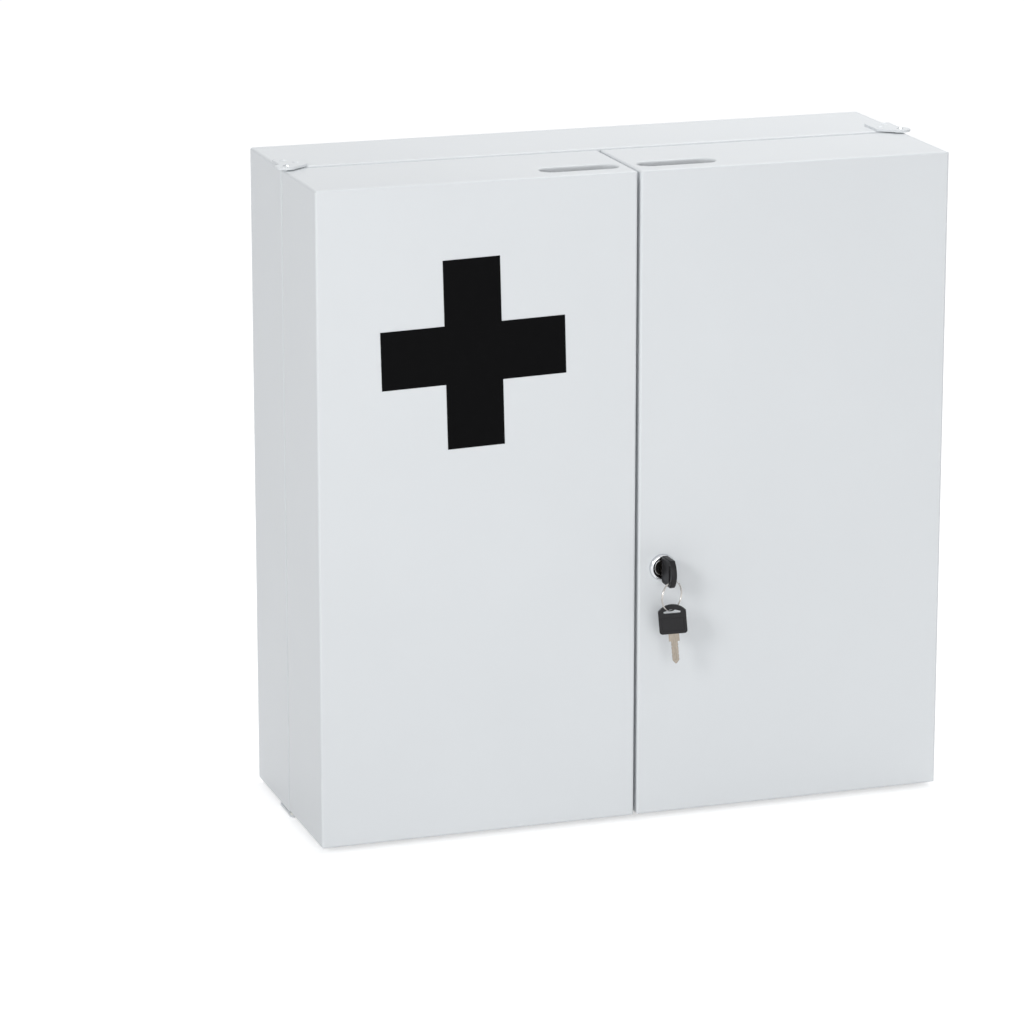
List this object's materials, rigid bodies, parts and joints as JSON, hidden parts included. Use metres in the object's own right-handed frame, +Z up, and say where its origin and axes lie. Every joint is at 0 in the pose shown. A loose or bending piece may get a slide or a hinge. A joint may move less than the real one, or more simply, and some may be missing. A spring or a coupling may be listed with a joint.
{
  "type": "wall medicine cabinet",
  "caption": "White sheet-steel wall medicine cabinet with deep double doors, door trays, shelves, a black cross and a cam lock with keys.",
  "frame": {"origin": "centre of the back panel's outer face, in the middle of the four wall holes", "axes": "+X to the right as seen from the front, +Y back into the wall, +Z up"},
  "size_m": [0.541, 0.2199, 0.5414],
  "materials": {
    "white_powder_coat": "smooth semi-gloss white powder coat",
    "zinc_plate": "bright zinc plate",
    "nickel_magnet": "nickel-plated magnet",
    "black_rubber": "matt moulded rubber",
    "white_nylon": "natural nylon",
    "black_film": "satin black adhesive film",
    "chrome": "polished chrome plate",
    "dark_chrome": "worn plated zinc casting",
    "nickel_wire": "nickel-plated spring wire",
    "nickel_silver": "milled nickel-plated brass",
    "black_plastic": "moulded black plastic, slightly glossy"
  },
  "bodies": {
    "cabinet": {"body_shell": "white_powder_coat", "back_panel": "white_powder_coat", "lower_shelf": "white_powder_coat", "middle_shelf": "white_powder_coat", "upper_shelf": "white_powder_coat", "top_left_hinge_plate": "white_powder_coat", "top_right_hinge_plate": "white_powder_coat", "bottom_left_hinge_plate": "white_powder_coat", "bottom_right_hinge_plate": "white_powder_coat", "left_hinge_pins": "zinc_plate", "right_hinge_pins": "zinc_plate", "hinge_plate_rivets": "white_powder_coat", "door_magnets": "nickel_magnet", "door_stops": "black_rubber"},
    "left_door": {"left_door_shell": "white_powder_coat", "left_lower_tray": "white_powder_coat", "left_middle_tray": "white_powder_coat", "left_upper_tray": "white_powder_coat", "left_stiffeners": "zinc_plate", "left_hinge_washers": "white_nylon", "cross_emblem": "black_film", "cam_keeper": "zinc_plate", "latch_rivet": "zinc_plate"},
    "latch": {"door_latch": "zinc_plate"},
    "right_door": {"right_door_shell": "white_powder_coat", "right_lower_tray": "white_powder_coat", "right_middle_tray": "white_powder_coat", "right_upper_tray": "white_powder_coat", "right_stiffeners": "zinc_plate", "right_hinge_washers": "white_nylon", "lock_housing": "chrome", "lock_washer": "zinc_plate", "lock_nut": "zinc_plate"},
    "lock_core": {"lock_plug": "dark_chrome", "lock_cam": "zinc_plate", "cam_screw": "zinc_plate"},
    "key": {"key_blade": "nickel_silver", "key_head": "black_plastic"},
    "ring": {"key_ring": "nickel_wire"},
    "spare_key": {"spare_key_blade": "nickel_silver", "spare_key_head": "black_plastic"}
  },
  "joints": [
    {"name": "left_door_hinge", "type": "hinge", "parent": "cabinet", "child": "left_door", "pos_m": [-0.262, -0.0965, 0], "axis": [0, 0, -1], "range_deg": [0, 100]},
    {"name": "right_door_hinge", "type": "hinge", "parent": "cabinet", "child": "right_door", "pos_m": [0.262, -0.0965, 0], "axis": [0, 0, 1], "range_deg": [0, 100]},
    {"name": "latch_turn", "type": "hinge", "parent": "left_door", "child": "latch", "pos_m": [-0.0073, -0.0935, 0.23478], "axis": [0, 1, 0], "range_deg": [0, 90]},
    {"name": "lock_turn", "type": "hinge", "parent": "right_door", "child": "lock_core", "pos_m": [0.0215, -0.19, -0.0585], "axis": [0, 1, 0], "range_deg": [0, 90]},
    {"name": "key_slide", "type": "slide", "parent": "lock_core", "child": "key", "axis": [0, -1, 0], "range_m": [0, 0.03]},
    {"name": "ring_swing", "type": "hinge", "parent": "key", "child": "ring", "pos_m": [0.0215, -0.2131, -0.06438], "axis": [-0.866, -0.5, 0], "range_deg": [-10, 30]},
    {"name": "spare_key_swing", "type": "hinge", "parent": "ring", "child": "spare_key", "pos_m": [0.0215, -0.2131, -0.08858], "axis": [-0.866, -0.5, 0], "range_deg": [-10, 30]}
  ]
}
